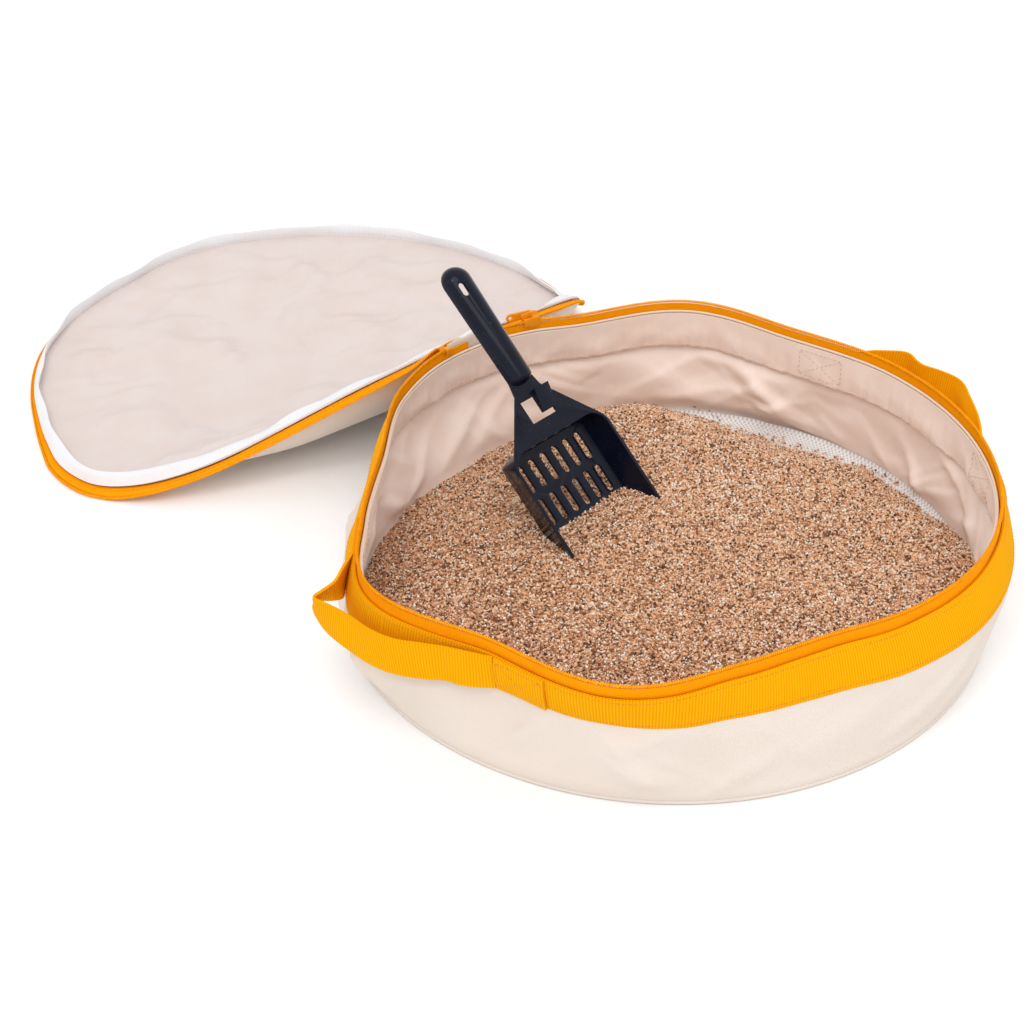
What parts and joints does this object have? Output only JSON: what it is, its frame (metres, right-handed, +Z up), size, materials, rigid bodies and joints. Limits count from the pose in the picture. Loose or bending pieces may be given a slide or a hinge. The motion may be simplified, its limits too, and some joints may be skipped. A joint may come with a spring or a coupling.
{
  "type": "portable litter box",
  "caption": "Round soft canvas litter tub with a zip-on lid laid open, webbing handles, waterproof lining, a filling of litter and a slotted scoop.",
  "frame": {"origin": "middle of the tub's base panel, on the surface it stands on", "axes": "+Z up, +Y toward the lid's hinge and the open lid, +X toward the right handle"},
  "size_m": [0.4796, 0.7753, 0.1701],
  "materials": {
    "canvas": "cream twill canvas, matt",
    "lining": "pale peach coated cloth, soft sheen",
    "white_tape": "white woven binding tape",
    "pale_piping": "pale covered cord",
    "webbing": "ribbed orange webbing",
    "zip_tape": "fine woven orange tape",
    "zip_coil": "orange nylon coil",
    "zip_metal": "orange enamel",
    "litter": "loose mixed brown grains",
    "scoop_plastic": "dark navy plastic with fine speckle"
  },
  "bodies": {
    "tub": {"base_panel": "canvas", "base_welt": "canvas", "side_wall": "canvas", "lining_floor": "lining", "lining_wall": "lining", "floor_seam_tape": "white_tape", "rim_facing": "lining", "rim_piping": "pale_piping", "rim_webbing": "webbing", "lower_zip_tape": "zip_tape", "lower_zip_coil": "zip_coil", "lower_top_stop": "zip_metal", "lower_bottom_stop": "zip_metal", "hinge_gusset": "canvas", "litter_bed": "litter", "handle_left_front_end": "webbing", "handle_left_rear_end": "webbing", "handle_right_front_end": "webbing", "handle_right_rear_end": "webbing"},
    "lid_rear": {"lid_panel_rear": "canvas", "lid_lining_rear": "lining", "lid_binding_rear": "white_tape", "upper_zip_tape_left": "zip_tape", "upper_zip_tape_right": "zip_tape", "upper_zip_coil_left": "zip_coil", "upper_zip_coil_right": "zip_coil", "upper_top_stop": "zip_metal", "upper_bottom_stop": "zip_metal", "lid_hinge_flap": "canvas"},
    "lid_front": {"lid_panel_front": "canvas", "lid_lining_front": "lining", "lid_binding_front": "white_tape", "upper_zip_tape_front": "zip_tape", "upper_zip_coil_front": "zip_coil"},
    "slider": {"zip_slider": "zip_metal"},
    "pull": {"zip_pull": "zip_metal"},
    "left_handle": {"handle_left_loop": "webbing"},
    "right_handle": {"handle_right_loop": "webbing"},
    "scoop": {"scoop": "scoop_plastic"}
  },
  "joints": [
    {"name": "lid_hinge", "type": "hinge", "parent": "tub", "child": "lid_rear", "pos_m": [0, 0.204, 0.0935], "axis": [0.9988, 0.0489, 0], "range_deg": [0, 223.82]},
    {"name": "lid_fold", "type": "hinge", "parent": "lid_rear", "child": "lid_front", "pos_m": [-0.00444, 0.29482, 0.0005], "axis": [-0.9988, -0.0489, 0], "range_deg": [0, 43.82]},
    {"name": "slider_run", "type": "hinge", "parent": "tub", "child": "slider", "pos_m": [0, 0, 0.091], "axis": [0, 0, -1], "range_deg": [0, 338]},
    {"name": "pull_swing", "type": "hinge", "parent": "slider", "child": "pull", "pos_m": [0.04795, 0.19818, 0.091], "axis": [0, 0, -1], "range_deg": [0, 90]},
    {"name": "left_handle_lift", "type": "hinge", "parent": "tub", "child": "left_handle", "pos_m": [-0.19629, -0.00514, 0.0825], "axis": [-0.0262, 0.9997, 0], "range_deg": [0, 90]},
    {"name": "right_handle_lift", "type": "hinge", "parent": "tub", "child": "right_handle", "pos_m": [0.19468, -0.02563, 0.0825], "axis": [-0.1305, -0.9914, 0], "range_deg": [0, 90]},
    {"name": "scoop_lay", "type": "hinge", "parent": "tub", "child": "scoop", "pos_m": [-0.00884, 0.00732, 0.178], "axis": [-0.988, -0.1547, 0], "range_deg": [0, 41.7], "deforming": ["litter_bed"]}
  ],
  "couplings": [
    {"joint": "lid_fold", "follows": "lid_hinge", "ratio": 0.19577},
    {"joint": "scoop_lay", "follows": "lid_hinge", "ratio": 0.18631}
  ]
}
